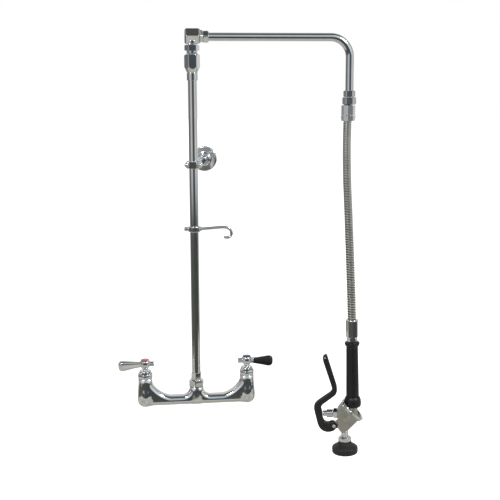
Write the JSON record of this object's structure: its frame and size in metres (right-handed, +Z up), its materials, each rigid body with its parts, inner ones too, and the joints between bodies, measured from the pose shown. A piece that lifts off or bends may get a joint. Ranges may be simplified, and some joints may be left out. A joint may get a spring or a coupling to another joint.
{
  "type": "pre-rinse faucet",
  "caption": "Wall-mounted pre-rinse faucet with lever valves, tall riser, wall bracket, hook, swinging overhead arm, flexible steel hose and a squeeze valve with a round spray head.",
  "frame": {"origin": "midway between the two supply inlets, in the plane of their rear ends", "axes": "+X along the wall to the right, +Y into the wall, +Z up along the riser"},
  "size_m": [0.4975, 0.1884, 0.8587],
  "materials": {
    "chrome": "polished chrome plate",
    "satin_nickel": "satin, grey-beige cast nickel",
    "stainless_hose": "semi-bright stainless steel",
    "brass": "machined",
    "black_plastic": "smooth black",
    "black_rubber": "matt black",
    "black_coating": "satin black coating",
    "red_index": "glossy red",
    "blue_index": "glossy blue"
  },
  "bodies": {
    "base": {"base_body": "chrome", "hot_inlet_nipple": "chrome", "cold_inlet_nipple": "chrome", "hot_cartridge": "brass", "cold_cartridge": "brass", "hot_bonnet_nut": "chrome", "cold_bonnet_nut": "chrome", "hot_packing_nut": "chrome", "cold_packing_nut": "chrome", "outlet_washer": "black_rubber", "outlet_nut": "chrome", "riser_nut": "chrome", "riser": "chrome", "riser_collar": "chrome", "swivel_barrel": "chrome", "bracket_clamp_front": "chrome", "bracket_clamp_back": "chrome", "bracket_screw_left": "stainless_hose", "bracket_screw_right": "stainless_hose", "bracket_rod": "chrome", "wall_flange": "chrome", "hook_clamp": "chrome", "hook_screw": "chrome", "hook_rod": "chrome"},
    "hot_valve": {"hot_stem": "brass", "hot_lever": "chrome", "hot_lever_insert": "black_plastic", "hot_index": "red_index"},
    "cold_valve": {"cold_stem": "brass", "cold_lever": "chrome", "cold_lever_insert": "black_plastic", "cold_index": "blue_index"},
    "arm": {"swivel_stem": "chrome", "swivel_oring": "black_rubber", "swivel_nut": "chrome", "elbow": "chrome", "arm_nut": "chrome", "arm_tube": "chrome", "drop_nut": "chrome", "drop_adapter": "chrome", "hose_gasket": "black_rubber", "hose_coupling": "chrome"},
    "hanging_hose": {"hose": "stainless_hose", "hose_ferrule": "chrome", "ferrule_nut": "chrome"},
    "squeeze_valve": {"grip_ring": "black_plastic", "grip": "black_rubber", "grip_collar": "black_plastic", "grip_tube": "brass", "spray_body": "satin_nickel", "spray_ring": "chrome", "valve_bonnet": "chrome", "plunger_spring": "stainless_hose", "lever_pin": "chrome", "spray_neck": "chrome", "spray_nut": "chrome", "spray_bumper": "black_rubber", "spray_face": "black_plastic"},
    "squeeze_lever": {"spray_lever": "black_coating"},
    "valve_plunger": {"plunger": "chrome"}
  },
  "joints": [
    {"name": "hot_turn", "type": "hinge", "parent": "base", "child": "hot_valve", "pos_m": [-0.1016, -0.04, 0.076], "axis": [0, 0, 1], "range_deg": [0, 90]},
    {"name": "cold_turn", "type": "hinge", "parent": "base", "child": "cold_valve", "pos_m": [0.1016, -0.04, 0.076], "axis": [0, 0, -1], "range_deg": [0, 90]},
    {"name": "arm_swing", "type": "hinge", "parent": "base", "child": "arm", "pos_m": [0, -0.04, 0.69], "axis": [0, 0, 1], "continuous": true},
    {"name": "hose_swing", "type": "hinge", "parent": "arm", "child": "hanging_hose", "pos_m": [0.3015, -0.04, 0.4913], "axis": [-1, 0, 0], "range_deg": [-10, 45], "deforming": ["hose"]},
    {"name": "valve_turn", "type": "hinge", "parent": "hanging_hose", "child": "squeeze_valve", "pos_m": [0.3212, -0.04, -0.0343], "axis": [-0.0239, 0, 0.9997], "range_deg": [-180, 180]},
    {"name": "lever_squeeze", "type": "hinge", "parent": "squeeze_valve", "child": "squeeze_lever", "pos_m": [0.28437, -0.03198, -0.07339], "axis": [0.2079, 0.9781, 0.005], "range_deg": [0, 12], "stiffness_Nm_per_rad": 0.8, "springref_deg": -28.65},
    {"name": "plunger_press", "type": "slide", "parent": "squeeze_valve", "child": "valve_plunger", "axis": [0.9779, -0.2079, 0.0234], "range_m": [0, 0.0056], "deforming": ["plunger_spring"]}
  ],
  "couplings": [
    {"joint": "plunger_press", "follows": "lever_squeeze", "m_per_rad": 0.0262}
  ]
}
